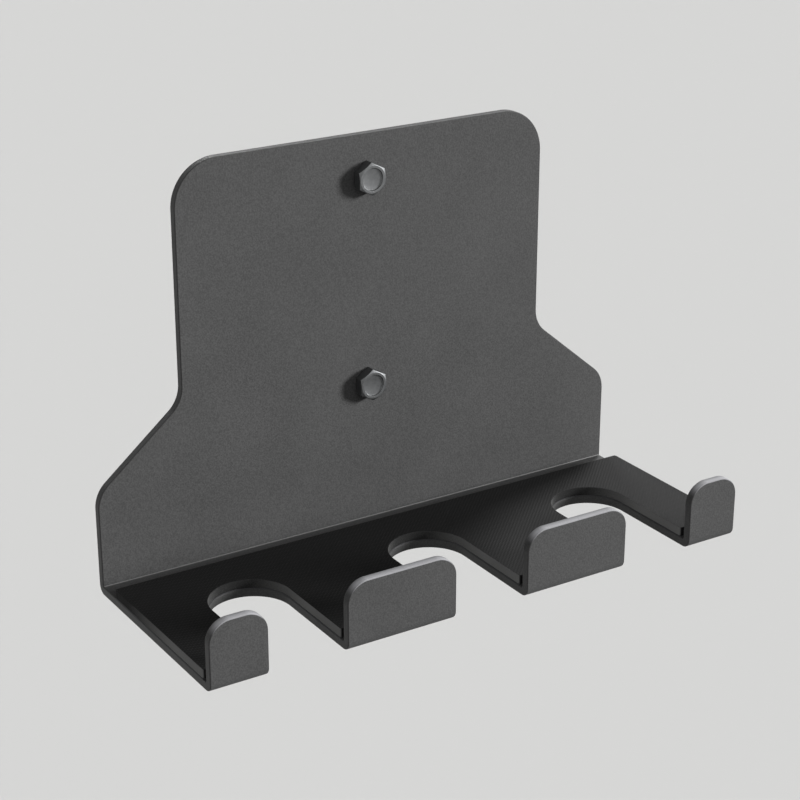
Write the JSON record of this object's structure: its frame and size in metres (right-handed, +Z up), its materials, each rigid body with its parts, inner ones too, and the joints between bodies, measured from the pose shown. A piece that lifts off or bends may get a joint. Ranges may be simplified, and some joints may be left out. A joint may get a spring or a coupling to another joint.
{
  "type": "barbell storage rack",
  "caption": "Folded steel wall bracket with open bar slots, upturned lips and a rubber-lined shelf that holds barbells upright by their sleeves.",
  "frame": {"origin": "midpoint between the two bolt holes, on the plane of the wall", "axes": "+X along the wall to the right as seen from the room, +Y into the wall, +Z up; the rack's front faces -Y"},
  "size_m": [0.3302, 0.2032, 0.2287],
  "materials": {
    "powder_coated_steel": "fine-textured satin black powder coat",
    "black_rubber": "matte black rubber with a fine pressed texture",
    "adhesive_film": "dark grey double-sided acrylic foam film",
    "zinc_plated_steel": "dull zinc plate",
    "grey_nylon": "moulded satin nylon"
  },
  "bodies": {
    "root": {"bracket": "powder_coated_steel", "shelf_liner": "black_rubber", "liner_adhesive": "adhesive_film", "upper_bolt": "zinc_plated_steel", "lower_bolt": "zinc_plated_steel", "upper_wall_plug": "grey_nylon", "lower_wall_plug": "grey_nylon"}
  },
  "joints": []
}
